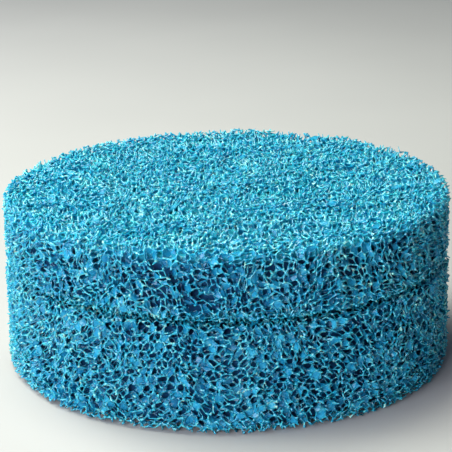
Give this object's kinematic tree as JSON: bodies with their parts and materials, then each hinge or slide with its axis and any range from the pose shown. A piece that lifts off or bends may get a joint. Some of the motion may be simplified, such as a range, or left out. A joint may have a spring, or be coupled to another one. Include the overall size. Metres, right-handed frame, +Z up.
{
  "type": "sponge filter",
  "caption": "Round coarse blue sponge filter: a blind foam disc on a foam sleeve around a slotted twist-lock strainer core with a weighted base and a pipe grommet.",
  "frame": {"origin": "centre of the round footprint, on the surface the filter stands on", "axes": "+Z up along the axis of the foam cylinder; -Y faces the viewer of the picture, +X to the right"},
  "size_m": [0.16, 0.16, 0.0633],
  "materials": {
    "foam_disc": "coarse open-cell reticulated foam, blue",
    "foam_sleeve": "coarse open-cell reticulated foam, blue",
    "core_plastic": "moulded polypropylene, fine satin texture",
    "rubber": "soft matt rubber",
    "steel": "plain stainless steel, machined"
  },
  "bodies": {
    "base": {"base_body": "core_plastic", "base_cover": "core_plastic", "ballast_ring": "steel", "neck_o_ring": "rubber", "pipe_grommet": "rubber", "cover_screw_1": "steel", "cover_screw_2": "steel", "cover_screw_3": "steel", "foot_pad_1": "rubber", "foot_pad_2": "rubber", "foot_pad_3": "rubber"},
    "cage": {"strainer_cage": "core_plastic"},
    "cap": {"cage_cap": "core_plastic"},
    "sleeve": {"sponge_sleeve": "foam_sleeve"},
    "disc": {"sponge_top_disc": "foam_disc"}
  },
  "joints": [
    {"name": "cage_twist", "type": "hinge", "parent": "base", "child": "cage", "pos_m": [0, 0, 0.012], "axis": [0, 0, 1], "range_deg": [0, 30]},
    {"name": "cap_twist", "type": "hinge", "parent": "cage", "child": "cap", "pos_m": [0, 0, 0.035], "axis": [0, 0, 1], "range_deg": [0, 30]},
    {"name": "sleeve_lift", "type": "slide", "parent": "cage", "child": "sleeve", "axis": [0, 0, 1], "range_m": [0, 0.06]},
    {"name": "disc_lift", "type": "slide", "parent": "sleeve", "child": "disc", "axis": [0, 0, 1], "range_m": [0, 0.045]}
  ]
}
